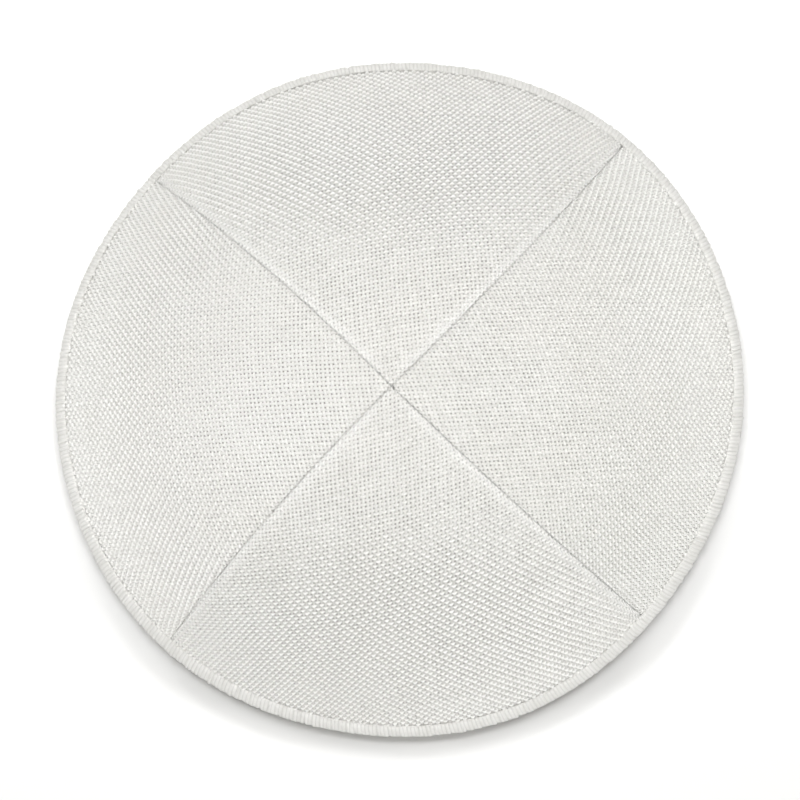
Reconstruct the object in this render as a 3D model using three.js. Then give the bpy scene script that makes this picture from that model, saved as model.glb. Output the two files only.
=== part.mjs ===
// A kippah skullcap of plain-woven cloth: four curved triangular panels, sewn edge to edge along four
// seams that meet at the tip, and a band of overlock thread that wraps the rim all round.
// Millimetres, +Z up. The origin is on the surface that the hat rests on, under the middle of its rim.
// The front panel faces -Y, the right one +X.

import * as THREE from "three";
import { mergeVertices } from "three/addons/utils/BufferGeometryUtils.js";

// Driving dimensions.
const RIM_RADIUS = 84.4; // mean plan radius of the cloth's own edge
const CROWN_RISE = 51; // from the cloth's edge up to the tip
const CLOTH_THICKNESS = 1.2;
const SEAM_GAP = 0.3; // between the folded edges of two panels
const FOLD_RADIUS = 1.0; // round shoulder where a panel's cloth turns down into a seam
const ALLOWANCE_WIDTH = 6; // of the seam allowances under a panel
const ALLOWANCE_THICKNESS = 1.6; // both layers of a seam's allowances, pressed flat
const ALLOWANCE_BEVEL = 1.5; // over which the cloth eases down beside the allowances
const SEAM_LIFT = 0.5; // by which the allowances under a panel raise its outer face
const BAND_WIDTH = 2.8; // slope length of thread band over the cloth's edge, on either face
const BAND_THICKNESS = 0.5;
const BAND_CLEARANCE = 0.3; // all round the cloth inside the band
const FOOT_WIDTH = 1.4; // flat ring that the band rests on

// How much flatter a panel is across than a round dome, as the power of the cosine that draws its
// middle in from its seams. It fades out towards the rim, which keeps its round outline.
const FLATNESS_POWER = 0.18;

// Slow waves of the rim's outline, as shares of the rim's radius, with the azimuth of a crest.
const RIM_WAVES = [
  { crests: 2, share: 0.0141, azimuth: 25 },
  { crests: 3, share: 0.0029, azimuth: 46 },
  { crests: 4, share: 0.0028, azimuth: 18 },
  { crests: 6, share: 0.003, azimuth: 49 },
];

// Where each seam meets the rim, in degrees anticlockwise from +X, and how far it turns clockwise on its
// way up to the tip.
const SEAM_ANGLES = {
  frontRight: { rim: -44.8, twist: 2.4 },
  rightBack: { rim: 45.4, twist: 3.9 },
  backLeft: { rim: 135.6, twist: 3.7 },
  leftFront: { rim: 224.0, twist: 1.9 },
};

// Each panel from its seam at the clockwise side to the next. Both allowances of a seam are pressed under
// the front or back panel, whose body carries them.
const PANELS = [
  { name: "panel_front", from: SEAM_ANGLES.leftFront, to: SEAM_ANGLES.frontRight, layers: 1 },
  { name: "panel_right", from: SEAM_ANGLES.frontRight, to: SEAM_ANGLES.rightBack, layers: 0 },
  { name: "panel_back", from: SEAM_ANGLES.rightBack, to: SEAM_ANGLES.backLeft, layers: 1 },
  { name: "panel_left", from: SEAM_ANGLES.backLeft, to: SEAM_ANGLES.leftFront, layers: 0 },
];

// How finely the surfaces are cut into facets.
const ROWS = 13; // from the tip to the top of the band
const MIDDLE_COLUMNS = 8; // across a panel, between its two allowances
const BAND_STEPS = 84; // round the rim

// Columns of a panel from its seam inwards. roll is the angle round the folded shoulder, in degrees;
// past the shoulder, the column's distance from the seam is widths of the allowance and bevels. most is
// the largest share of the half panel that the distance may take near the tip. over is 1 where the
// column lies over the allowances.
const ROUND_MOST = 0.25;
const SEAM_COLUMNS = [
  { roll: 0, widths: 0, bevels: 0, most: 0, over: 1 },
  { roll: 45, widths: 0, bevels: 0, most: 0, over: 1 },
  { roll: 90, widths: 0, bevels: 0, most: 0, over: 1 },
  { roll: 90, widths: 1, bevels: 0, most: 0.55, over: 1 },
  { roll: 90, widths: 1, bevels: 1, most: 0.7, over: 0 },
];

const radians = THREE.MathUtils.degToRad;
const SEAM_BEND = radians(45); // of the surface at a seam, from the panel's middle
const seamHalfGap = SEAM_GAP / 2;
const padding = ALLOWANCE_THICKNESS - SEAM_LIFT; // of the allowances, below the cloth's own inner face
const rimSlope = Math.atan2(2 * CROWN_RISE, RIM_RADIUS);

// The band's channel holds the cloth's edge, and the foot cuts off the band's lowest corner.
const bandWall = BAND_CLEARANCE + BAND_THICKNESS;
const footCut = FOOT_WIDTH * Math.sin(rimSlope) * Math.cos(rimSlope);
const edgeHeight =
  bandWall * Math.sin(rimSlope) + (CLOTH_THICKNESS + bandWall) * Math.cos(rimSlope) - footCut;

// Plan radius of the cloth's edge at an azimuth in radians.
function rimRadius(azimuth) {
  let waves = 0;
  for (const { crests, share, azimuth: crest } of RIM_WAVES) {
    waves += share * Math.cos(crests * (azimuth - radians(crest)));
  }
  return RIM_RADIUS * (1 + waves);
}

// A point of the hat, measured from the level of the cloth's edge. share runs from 0 at the tip to 1 at
// the edge, bend is the angle from the panel's middle, 45 degrees at a seam, and depth goes in from the
// outer face, square to the slope.
function capPoint(azimuth, bend, share, depth) {
  const flatness = FLATNESS_POWER * (1 - share * share);
  const swell = Math.cos(bend) ** -flatness;
  const swellSlope = 2 * FLATNESS_POWER * share * Math.log(Math.cos(bend)) * swell;
  const run = rimRadius(azimuth) * (swell + share * swellSlope);
  const slope = Math.atan2(2 * CROWN_RISE * share, run);
  const radius = rimRadius(azimuth) * share * swell - depth * Math.sin(slope);
  const height = CROWN_RISE * (1 - share * share) - depth * Math.cos(slope);
  return new THREE.Vector3(radius * Math.cos(azimuth), radius * Math.sin(azimuth), height);
}

// Share of the way to the edge at a slope length above it.
function shareAbove(length) {
  return 1 - (length * Math.cos(rimSlope)) / RIM_RADIUS;
}

// Azimuth of a seam in radians, at a share of the way from the tip to the edge.
function seamAzimuth({ rim, twist }, share) {
  return radians(rim - twist * (1 - share));
}

// A panel's two edges at a share of the way down, as azimuths, the second one past the first.
function panelEdges({ from, to }, share) {
  const start = seamAzimuth(from, share);
  const end = seamAzimuth(to, share);
  return { start, end: end < start ? end + 2 * Math.PI : end };
}

// Rows of a panel from the tip, where the gaps along its two seams meet, to the edge, with whether the
// allowances lie under them. They end above the band.
function panelRows(panel) {
  const { start, end } = panelEdges(panel, 0);
  const tip = seamHalfGap / Math.sin((end - start) / 2) / rimRadius((start + end) / 2);
  const allowanceEnd = BAND_WIDTH + BAND_CLEARANCE;
  const last = shareAbove(allowanceEnd + ALLOWANCE_BEVEL);
  const rows = [];
  for (let i = 0; i <= ROWS; i++) {
    rows.push({ share: tip + (last - tip) * (i / ROWS), allowance: 1 });
  }
  rows.push({ share: shareAbove(allowanceEnd), allowance: 0 });
  rows.push({ share: 1, allowance: 0 });
  return rows;
}

// Distance of a column from the seam's plane, its drop below the outer face and the lift that allowances
// give it, where the half panel is halfWidth wide. The shoulder and the lift fade out towards the tip.
function seamColumn({ roll, widths, bevels, most, over }, halfWidth) {
  const room = Math.max(halfWidth - seamHalfGap, 0);
  const round = Math.min(FOLD_RADIUS, ROUND_MOST * room);
  const rolled = round * (1 - Math.cos(radians(roll)));
  const flat = widths * ALLOWANCE_WIDTH + bevels * ALLOWANCE_BEVEL;
  const distance = seamHalfGap + (widths ? Math.min(flat, most * room) : rolled);
  const drop = round * (1 - Math.sin(radians(roll)));
  return { distance, drop, over, lift: (over * SEAM_LIFT * round) / FOLD_RADIUS };
}

// One row of a panel as a loop: along the outer face, then back along the inner one.
function panelLoop(panel, { share, allowance }) {
  const { start, end } = panelEdges(panel, share);
  const middle = (start + end) / 2;
  const halfSpan = (end - start) / 2;
  const radius = rimRadius(middle) * share;
  const halfWidth = radius * Math.sin(halfSpan);
  const half = SEAM_COLUMNS.map((column) => {
    const { distance, ...rest } = seamColumn(column, halfWidth);
    return { ...rest, turn: Math.min(Math.asin(Math.min(distance / radius, 1)), halfSpan) };
  });
  const first = half.at(-1).turn;
  for (let i = 1; i <= MIDDLE_COLUMNS / 2; i++) {
    const turn = first + (halfSpan - first) * (i / (MIDDLE_COLUMNS / 2));
    half.push({ turn, drop: 0, over: 0, lift: 0 });
  }
  const columns = half.map((c) => ({ ...c, turn: c.turn - halfSpan }));
  for (const c of half.slice(0, -1).reverse()) columns.push({ ...c, turn: halfSpan - c.turn });
  const place = ({ turn }, depth) => {
    return capPoint(middle + turn, (turn / halfSpan) * SEAM_BEND, share, depth);
  };
  const layers = panel.layers * allowance;
  const outer = columns.map((c) => place(c, c.drop - layers * c.lift));
  const inner = columns.map((c) => place(c, CLOTH_THICKNESS + c.over * layers * padding));
  return [...outer, ...inner.reverse()];
}

// The band's section at an azimuth as a loop. along runs down the slope from the cloth's edge, out runs
// outwards from the cloth's outer face.
function bandLoop(azimuth) {
  const slope = Math.atan2(2 * CROWN_RISE, rimRadius(azimuth));
  const sine = Math.sin(slope);
  const cosine = Math.cos(slope);
  const bevel = 0.6 * BAND_THICKNESS;
  const lining = CLOTH_THICKNESS + BAND_CLEARANCE;
  const back = -(CLOTH_THICKNESS + bandWall);
  const section = [
    { along: BAND_CLEARANCE, out: BAND_CLEARANCE },
    { along: BAND_CLEARANCE, out: -lining },
    { along: -BAND_WIDTH, out: -lining },
    { along: -BAND_WIDTH, out: back + bevel },
    { along: -BAND_WIDTH + bevel, out: back },
    { along: (edgeHeight + back * cosine) / sine, out: back },
    { along: bandWall, out: (bandWall * sine - edgeHeight) / cosine },
    { along: bandWall, out: bandWall - 2 * bevel },
    { along: bandWall - bevel / 2, out: bandWall - bevel / 2 },
    { along: bandWall - 2 * bevel, out: bandWall },
    { along: -BAND_WIDTH + bevel, out: bandWall },
    { along: -BAND_WIDTH, out: bandWall - bevel },
    { along: -BAND_WIDTH, out: BAND_CLEARANCE },
  ];
  return section.map(({ along, out }) => {
    const radius = rimRadius(azimuth) + along * cosine + out * sine;
    const height = -along * sine + out * cosine;
    return new THREE.Vector3(radius * Math.cos(azimuth), radius * Math.sin(azimuth), height);
  });
}

// A closed skin through loops of equally many points. Where it is capped, the last loop's first half is
// joined to its second half, which runs back beside it; a loop that shrinks to a line needs no cap.
function skin(loops, capLast) {
  const count = loops[0].length;
  const positions = loops.flat().flatMap((p) => [p.x, p.y, p.z]);
  const faces = [];
  for (let i = 0; i + 1 < loops.length; i++) {
    for (let j = 0; j < count; j++) {
      const a = i * count + j;
      const b = i * count + ((j + 1) % count);
      faces.push([a, a + count, b + count], [a, b + count, b]);
    }
  }
  if (capLast) {
    const start = (loops.length - 1) * count;
    for (let j = 0; j + 1 < count / 2; j++) {
      const a = start + j;
      const b = start + count - 1 - j;
      faces.push([a, b, b - 1], [a, b - 1, a + 1]);
    }
  }
  const geometry = new THREE.BufferGeometry();
  geometry.setAttribute("position", new THREE.Float32BufferAttribute(positions, 3));
  geometry.setIndex(faces.flat());
  const merged = mergeVertices(geometry, 1e-4);
  const index = merged.index.array;
  const kept = [];
  for (let i = 0; i < index.length; i += 3) {
    const [a, b, c] = index.subarray(i, i + 3);
    if (a !== b && b !== c && c !== a) kept.push(a, b, c);
  }
  merged.setIndex(kept);
  merged.computeVertexNormals();
  return merged;
}

const cloth = new THREE.MeshStandardMaterial({ color: 0xeceae3, roughness: 0.85, metalness: 0 });
const thread = new THREE.MeshStandardMaterial({ color: 0xefede7, roughness: 0.7, metalness: 0 });

function buildPanel(panel) {
  const loops = panelRows(panel).map((row) => panelLoop(panel, row));
  const mesh = new THREE.Mesh(skin(loops, true), cloth);
  mesh.name = panel.name;
  return mesh;
}

function buildBand() {
  const loops = [];
  for (let i = 0; i <= BAND_STEPS; i++) {
    loops.push(bandLoop(2 * Math.PI * ((i % BAND_STEPS) / BAND_STEPS)));
  }
  const mesh = new THREE.Mesh(skin(loops, false), thread);
  mesh.name = "edge_binding";
  return mesh;
}

// Everything is measured from the cloth's edge, which the band's foot holds above the surface.
const cap = new THREE.Group();
cap.position.z = edgeHeight;
cap.add(...PANELS.map(buildPanel), buildBand());

const hat = new THREE.Group();
hat.add(cap);
export default hat;
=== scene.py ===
import bpy
import numpy as np
from mathutils import Matrix, Vector


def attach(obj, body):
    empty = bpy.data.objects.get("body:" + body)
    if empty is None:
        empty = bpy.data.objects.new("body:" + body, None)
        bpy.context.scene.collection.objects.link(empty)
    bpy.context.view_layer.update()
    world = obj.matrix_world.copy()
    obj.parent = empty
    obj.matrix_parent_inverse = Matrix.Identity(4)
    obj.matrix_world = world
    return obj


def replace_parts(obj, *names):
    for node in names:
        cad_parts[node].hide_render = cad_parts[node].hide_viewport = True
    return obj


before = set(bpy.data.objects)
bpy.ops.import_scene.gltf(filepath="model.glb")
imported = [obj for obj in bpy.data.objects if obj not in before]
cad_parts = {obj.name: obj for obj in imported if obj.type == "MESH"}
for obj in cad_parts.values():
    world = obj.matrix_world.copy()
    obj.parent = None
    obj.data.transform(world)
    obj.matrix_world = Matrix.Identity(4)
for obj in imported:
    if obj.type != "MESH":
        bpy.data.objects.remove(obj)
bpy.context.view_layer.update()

MM = 0.001

# The shape, as in the CAD part.
RIM_RADIUS = 84.4
CROWN_RISE = 51.0
CLOTH_THICKNESS = 1.2
ALLOWANCE_WIDTH = 6.0
ALLOWANCE_THICKNESS = 1.6
SEAM_LIFT = 0.5
FLATNESS_POWER = 0.18
BAND_WALL = 0.8
FOOT_WIDTH = 1.4
SEAM_BEND = np.pi / 4  # turn of the surface at a seam, from the panel's middle
RIM_SLOPE = np.arctan2(2 * CROWN_RISE, RIM_RADIUS)
FOOT_CUT = FOOT_WIDTH * np.sin(RIM_SLOPE) * np.cos(RIM_SLOPE)
EDGE_HEIGHT = (
    BAND_WALL * np.sin(RIM_SLOPE) + (CLOTH_THICKNESS + BAND_WALL) * np.cos(RIM_SLOPE) - FOOT_CUT
)

# Waves of the rim's outline, as (how many round it, share of its radius, azimuth of a crest in degrees).
RIM_WAVES = [(2, 0.0141, 25.0), (3, 0.0029, 46.0), (4, 0.0028, 18.0), (6, 0.003, 49.0)]

# Seams as (degrees anticlockwise from +X at the rim, degrees clockwise from there up to the tip).
FRONT_RIGHT = (-44.8, 2.4)
RIGHT_BACK = (45.4, 3.9)
BACK_LEFT = (135.6, 3.7)
LEFT_FRONT = (224.0, 1.9)
FRONT_RIGHT_NEXT = (FRONT_RIGHT[0] + 360, FRONT_RIGHT[1])  # the same seam, a full turn on

# One cloth, cut into four panels. grain is the turn of the lengthwise yarns from the panel's middle line,
# skew that of the crosswise ones from square to them, in degrees. layers is 1 over the seam allowances.
PANELS = [
    dict(name="panel_front", start=LEFT_FRONT, end=FRONT_RIGHT_NEXT, layers=1, grain=0.3, skew=17.5, seed=11),
    dict(name="panel_right", start=FRONT_RIGHT, end=RIGHT_BACK, layers=0, grain=1.0, skew=20.0, seed=12),
    dict(name="panel_back", start=RIGHT_BACK, end=BACK_LEFT, layers=1, grain=2.4, skew=9.5, seed=13),
    dict(name="panel_left", start=BACK_LEFT, end=LEFT_FRONT, layers=0, grain=0.5, skew=6.0, seed=14),
]

# The net that carries the yarns. Its cells are counted before and after its middle.
LENGTH_PITCH = 1.03  # of the crosswise yarns, along the lengthwise ones
CROSS_PITCH = 0.995  # of the lengthwise yarns, along the crosswise ones
NET_STEP = 2  # yarns to a cell
NET_MIDDLE = 0.55  # share of the way to the rim
CROSSWISE_CELLS = (44, 44)
LENGTHWISE_CELLS = (30, 34)
SLOPE_STEP = 0.02  # over which a slope of the cap is measured
SPLIT = 3  # steps of the outer face's mesh to a yarn

# The turned edge of a panel at a seam, by the panel's layers: radius of the turn, the least angle from
# upright at which it meets its neighbour, and how deep the turned cloth goes.
SEAM_HALF_GAP = 0.022
FOLD_RADIUS = {0: 0.8, 1: 2.5}
FOLD_END = {0: np.radians(66), 1: np.radians(49)}
FLAP_DEPTH = {0: 1.35, 1: 2.4}
FLAP_LENGTH = 1.5
TIP_DEPTH = 0.6  # of the turned cloth at the tip
ROUND_MOST = 0.25  # the largest share of the half panel that the turn's radius takes
PLAY = 0.05  # by which inner faces and allowances keep clear of the CAD's own
LIFT_REACH = (1.0, 11.0)  # from the seam, over which the allowances' lift fades out
LIFT_START = (0.045, 0.09)  # above the rim, over which the lift comes in, as shares of the way up
EDGE_FROM_TIP = (0.05, 0.2)  # share of the way to the rim over which the edge's own crowns come in
DEEP_FROM_TIP = (0.0, 0.05)  # the same for the depth of the turned cloth
CALM = 0.2  # share of the relief that is left on upright cloth
SIDEWAYS = 0.6  # share of that relief, where it points sideways
CLOTH_END = 0.997  # share of the way to the rim at which the cloth ends, inside the band

# Limits that keep the sums sound near the tip and past a panel's edges: the least plan radius and half
# width, the most turn in half spans, the most bend in radians and the most share of the way to the rim.
LEAST_RADIUS = 1e-4
LEAST_ROOM = 0.02
TURN_MOST = 1.6
BEND_MOST = 1.2
SHARE_MOST = 1.3

# Relief of the weave, from the outer face of the CAD part. Each pair holds the crowns of the lengthwise
# floats and of the crosswise ones: near the tip, near the rim and on the turned edge of a raised panel.
CROWN_TIP = (0.0, 0.04)
CROWN_RIM = (-0.13, 0.12)
CROWN_EDGE = (0.2, -0.2)
CREASE = -0.38
PIT = -0.8
INNER_PIT = -0.3
RIMWARD = (0.3, 0.85)  # share of the way to the rim over which the crowns change
EDGEWARD = (1.5, 4.0)  # distance from the seam over which the turned edge's crowns fade out
FLOAT_SHIFT = 0.13  # in yarns, by which a float is longer at each end and narrower at each side

# How uneven the yarns are: in their place, in yarns, and in their height. The lengths over which they
# change are steps of the mesh for the wander and yarns for the rest.
WANDER = 0.04
WANDER_LENGTH = 24
OWN_PLACE = 0.015
SLUB = 0.03
SLUB_LENGTH = 14
GRAIN = 0.03
PIT_GRAIN = 0.16
SWELL = 0.04
SWELL_LENGTH = 15

# The bake map of a piece keeps clear of its own edges. A panel's inner face lies above its outer one.
MAP_EDGE = 0.01
MAP_FILL = 0.98
HALF_MAP_FILL = 0.48


def rim_radius(azimuth):
    waves = sum(part * np.cos(count * (azimuth - np.radians(crest))) for count, part, crest in RIM_WAVES)
    return RIM_RADIUS * (1 + waves)


def seam_azimuth(seam, share):
    at_rim, twist = seam
    return np.radians(at_rim - twist * (1 - share))


def cap_point(azimuth, bend, share, depth):
    """A point of the hat, and the direction square to its slope there."""
    power = FLATNESS_POWER * (1 - share * share)
    swell = np.cos(bend) ** -power
    swell_slope = 2 * FLATNESS_POWER * share * np.log(np.cos(bend)) * swell
    run = rim_radius(azimuth) * (swell + share * swell_slope)
    slope = np.arctan2(2 * CROWN_RISE * share, run)
    radius = rim_radius(azimuth) * share * swell
    normal = np.stack(
        [np.sin(slope) * np.cos(azimuth), np.sin(slope) * np.sin(azimuth), np.cos(slope)], -1
    )
    height = EDGE_HEIGHT + CROWN_RISE * (1 - share * share)
    point = np.stack([radius * np.cos(azimuth), radius * np.sin(azimuth), height], -1)
    return point - normal * np.asarray(depth)[..., None], normal


def locate(panel, x, y):
    """Share of the way to the rim, turn from the panel's middle, its middle and its half span."""
    radius = np.hypot(x, y)
    azimuth = np.arctan2(y, x)
    base = radius / rim_radius(azimuth)
    share = base
    # The turn and the share follow from each other, and settle within six rounds.
    for _ in range(6):
        start = seam_azimuth(panel["start"], share)
        end = seam_azimuth(panel["end"], share)
        middle = (start + end) / 2
        half = (end - start) / 2
        turn = (azimuth - middle + np.pi) % (2 * np.pi) - np.pi
        bend = np.clip(turn / half * SEAM_BEND, -BEND_MOST, BEND_MOST)
        power = FLATNESS_POWER * (1 - share * share)
        share = np.clip(base * np.cos(bend) ** power, 0, SHARE_MOST)
    return share, turn, middle, half


def cap_height(panel, x, y):
    share = locate(panel, x, y)[0]
    return EDGE_HEIGHT + CROWN_RISE * (1 - share * share)


def height_slopes(panel, x, y):
    """Height of the cap at a plan place, and its slopes along X and Y."""
    z = cap_height(panel, x, y)
    x_slope = (cap_height(panel, x + SLOPE_STEP, y) - z) / SLOPE_STEP
    y_slope = (cap_height(panel, x, y + SLOPE_STEP) - z) / SLOPE_STEP
    return z, x_slope, y_slope


def walk(panel, x, y, direction, length, count):
    """Plan points of a line that runs straight over the cloth, at equal steps of length."""
    z, x_slope, y_slope = height_slopes(panel, x, y)
    here = np.array([x, y, z])
    ahead = np.array([np.cos(direction), np.sin(direction), 0.0])
    points = []
    for _ in range(count):
        normal = np.array([-x_slope, -y_slope, 1.0])
        normal /= np.linalg.norm(normal)
        ahead = ahead - normal * (ahead @ normal)
        ahead /= np.linalg.norm(ahead)
        here = here + ahead * length
        here[2], x_slope, y_slope = height_slopes(panel, here[0], here[1])
        points.append(here[:2].copy())
    return points


def fourth_corners(panel, a, b, c, cross, along):
    """Plan points on the cap at cross from a and at along from b, opposite to c."""
    za = cap_height(panel, a[:, 0], a[:, 1])
    zb = cap_height(panel, b[:, 0], b[:, 1])
    p = a + b - c
    # Three Newton steps bring both sides to their length.
    for _ in range(3):
        z, x_slope, y_slope = height_slopes(panel, p[:, 0], p[:, 1])
        da, db = p - a, p - b
        miss_a = (da**2).sum(1) + (z - za) ** 2 - cross**2
        miss_b = (db**2).sum(1) + (z - zb) ** 2 - along**2
        ax = 2 * (da[:, 0] + (z - za) * x_slope)
        ay = 2 * (da[:, 1] + (z - za) * y_slope)
        bx = 2 * (db[:, 0] + (z - zb) * x_slope)
        by = 2 * (db[:, 1] + (z - zb) * y_slope)
        determinant = ax * by - ay * bx
        p[:, 0] -= (by * miss_a - ay * miss_b) / determinant
        p[:, 1] -= (ax * miss_b - bx * miss_a) / determinant
    return p


def yarn_net(panel):
    """Plan points of the net whose cells all have the same sides, as woven cloth keeps when it is shaped."""
    cross_before, cross_after = CROSSWISE_CELLS
    length_before, length_after = LENGTHWISE_CELLS
    start = seam_azimuth(panel["start"], NET_MIDDLE)
    end = seam_azimuth(panel["end"], NET_MIDDLE)
    middle = (start + end) / 2
    radius = NET_MIDDLE * rim_radius(middle)
    x0, y0 = radius * np.cos(middle), radius * np.sin(middle)
    lengthwise = middle + np.radians(panel["grain"])
    crosswise = lengthwise + np.pi / 2 + np.radians(panel["skew"])
    cross = CROSS_PITCH * NET_STEP
    along = LENGTH_PITCH * NET_STEP
    net = np.full((cross_before + cross_after + 1, length_before + length_after + 1, 2), np.nan)
    i0, j0 = cross_before, length_before
    net[i0, j0] = x0, y0
    arms = (
        (1, 0, crosswise, cross, cross_after),
        (-1, 0, crosswise + np.pi, cross, cross_before),
        (0, 1, lengthwise, along, length_after),
        (0, -1, lengthwise + np.pi, along, length_before),
    )
    for si, sj, way, length, count in arms:
        for n, point in enumerate(walk(panel, x0, y0, way, length, count), 1):
            net[i0 + si * n, j0 + sj * n] = point

    # Each quarter is filled from the middle outwards, one diagonal of cells at a time.
    for si, ni in ((1, cross_after), (-1, cross_before)):
        for sj, nj in ((1, length_after), (-1, length_before)):
            for diagonal in range(2, ni + nj + 1):
                i = np.arange(max(1, diagonal - nj), min(ni, diagonal - 1) + 1)
                j = diagonal - i
                i, j = i0 + si * i, j0 + sj * j
                a, b, c = net[i - si, j], net[i, j - sj], net[i - si, j - sj]
                net[i, j] = fourth_corners(panel, a, b, c, cross, along)
    return net


def smooth_noise(rng, shape, lengths):
    """Random values of mean 0 and deviation 1, smoothed over lengths cells along each axis."""
    values = rng.normal(size=shape)
    for axis, length in enumerate(lengths):
        if length > 1:
            kernel = np.hanning(int(length) + 2)[1:-1]
            pad = [(0, 0)] * len(shape)
            pad[axis] = (len(kernel), len(kernel))
            padded = np.pad(values, pad, mode="reflect" if shape[axis] > len(kernel) else "wrap")
            values = np.apply_along_axis(lambda v: np.convolve(v, kernel, "same"), axis, padded)
            cut = [slice(None)] * len(shape)
            cut[axis] = slice(len(kernel), len(kernel) + shape[axis])
            values = values[tuple(cut)]
    return (values - values.mean()) / values.std()


def net_points(net, s, t):
    """Plan points at yarn coordinates counted from the net's first corner."""
    u, v = s / NET_STEP, t / NET_STEP
    i = np.clip(np.floor(u).astype(int), 0, net.shape[0] - 2)
    j = np.clip(np.floor(v).astype(int), 0, net.shape[1] - 2)
    fu, fv = (u - i)[..., None], (v - j)[..., None]
    low = net[i, j] * (1 - fu) + net[i + 1, j] * fu
    high = net[i, j + 1] * (1 - fu) + net[i + 1, j + 1] * fu
    return low * (1 - fv) + high * fv


def fade(value, low, high):
    """0 up to low, 1 from high on, and smooth between them."""
    x = np.clip((value - low) / (high - low), 0, 1)
    return x * x * (3 - 2 * x)


def fold(panel, plan, relief, inner):
    """Points of the cloth at plan places of its unfolded surface: turned down at the seams, raised over
    the allowances, with relief outwards. Also how far over the cloth each lies from where the panel meets
    its neighbour, and its share of the way to the rim."""
    x, y = plan[..., 0], plan[..., 1]
    share, turn, middle, half = locate(panel, x, y)
    radius = np.maximum(np.hypot(x, y), LEAST_RADIUS)
    layers = panel["layers"]
    least = FOLD_END[layers]
    room = np.maximum(rim_radius(middle) * share * np.sin(half) - SEAM_HALF_GAP, LEAST_ROOM)
    bend_radius = np.minimum(FOLD_RADIUS[layers], ROUND_MOST * room)
    from_start = radius * np.sin(half + turn) - SEAM_HALF_GAP
    to_end = radius * np.sin(half - turn) - SEAM_HALF_GAP
    nearest = np.minimum(from_start, to_end)
    at_start = from_start < to_end
    unrolled = nearest + (np.pi / 2 - np.cos(least)) * bend_radius
    roll = np.clip(unrolled / bend_radius, 0, np.pi / 2)
    flat = roll >= np.pi / 2
    thickness = CLOTH_THICKNESS - PLAY if inner else 0.0
    distance = np.maximum(bend_radius * (np.cos(least) - np.cos(roll)), 0) + thickness * np.cos(roll)
    drop = bend_radius * (1 - np.sin(roll)) + np.maximum(-unrolled, 0) + thickness * np.sin(roll)
    deepest = TIP_DEPTH + (FLAP_DEPTH[layers] - TIP_DEPTH) * fade(share, *DEEP_FROM_TIP)
    drop = np.minimum(drop, np.maximum(deepest, thickness))
    over = 1 - fade(nearest, *LIFT_REACH)
    above_rim = fade(1 - share, *LIFT_START)
    lift = layers * SEAM_LIFT * over * above_rim * bend_radius / FOLD_RADIUS[layers]

    # Turned cloth keeps its place along the seam, and ends at the tip.
    angle = np.where(at_start, half + turn, half - turn)
    along = np.maximum(radius * np.cos(angle), SEAM_HALF_GAP / np.tan(half))
    distance = distance + SEAM_HALF_GAP
    turned = np.minimum(np.arctan2(distance, along), half)
    new_radius = np.hypot(along, distance)
    new_turn = np.where(flat, turn, np.where(at_start, turned - half, half - turned))
    share = np.where(flat, share, share * new_radius / radius)
    azimuth = middle + new_turn
    bend = np.clip(new_turn / half, -TURN_MOST, TURN_MOST) * SEAM_BEND
    point, normal = cap_point(azimuth, bend, share, np.where(flat, thickness, drop) - lift)

    # Relief turns sideways with the cloth, and is calmer there.
    seamwards = np.stack([np.sin(azimuth), -np.cos(azimuth), 0 * azimuth], -1)
    seamwards = seamwards * np.where(at_start, 1.0, -1.0)[..., None]
    sine = np.where(flat, 1.0, np.sin(roll))[..., None]
    cosine = np.where(flat | (roll < least), 0.0, np.cos(roll))[..., None]
    calm = np.where(flat, 1.0, CALM + (1 - CALM) * np.sin(roll))
    sign = -1.0 if inner else 1.0
    point = point + (normal * sine + SIDEWAYS * seamwards * cosine) * (sign * relief * calm)[..., None]
    return point, unrolled - least * bend_radius, share


def make_mesh(name, points, triangles, material, maps, values=None):
    """A mesh piece. maps are texture maps by corner, and values numbers by vertex, for its material."""
    mesh = bpy.data.meshes.new(name)
    count = len(triangles)
    mesh.vertices.add(len(points))
    mesh.vertices.foreach_set("co", (points * MM).astype(np.float32).ravel())
    mesh.loops.add(3 * count)
    mesh.loops.foreach_set("vertex_index", triangles.astype(np.int32).ravel())
    mesh.polygons.add(count)
    mesh.polygons.foreach_set("loop_start", np.arange(0, 3 * count, 3, dtype=np.int32))
    mesh.polygons.foreach_set("use_smooth", np.ones(count, bool))
    for map_name, corners in maps.items():
        layer = mesh.uv_layers.new(name=map_name)
        layer.data.foreach_set("uv", corners.astype(np.float32).ravel())
    for value_name, numbers in (values or {}).items():
        layer = mesh.attributes.new(value_name, "FLOAT", "POINT")
        layer.data.foreach_set("value", numbers.astype(np.float32))
    mesh.materials.append(material)
    mesh.update()
    mesh.validate()
    obj = bpy.data.objects.new(name, mesh)
    bpy.context.scene.collection.objects.link(obj)
    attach(obj, "root")
    return obj


def between_yarns(drift, nodes):
    """Drift of every row of the mesh, from that of the lines between yarns."""
    line = np.clip(nodes // SPLIT, 0, len(drift) - 2)
    way = ((nodes - SPLIT * line) / SPLIT)[:, None]
    return drift[line] * (1 - way) + drift[line + 1] * way


INNER_VALUES = {"open_weave_shade": 1.0, "tone": 0.0, "painted_float_shading": 0.0}  # of look_values, on the inner face

# Where the look changes, in shares of the way to the rim, or in distance beside a seam.
OPEN_FROM_TIP = (0.08, 0.3)
TONE_FROM_TIP = (0.02, 0.1)
FLOAT_SHADING_RIMWARD = (0.2, 0.7)
CLOSE_RIMWARD = (0.6, 0.95)
SHADING_RIM_FADE = (0.75, 0.95)
FLOAT_SHADING_BESIDE = (4, 24)
LIP_HIGHLIGHT_BESIDE = (0.8, 3.0)
SHADED_BESIDE = (0.6, 1.8)


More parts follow.
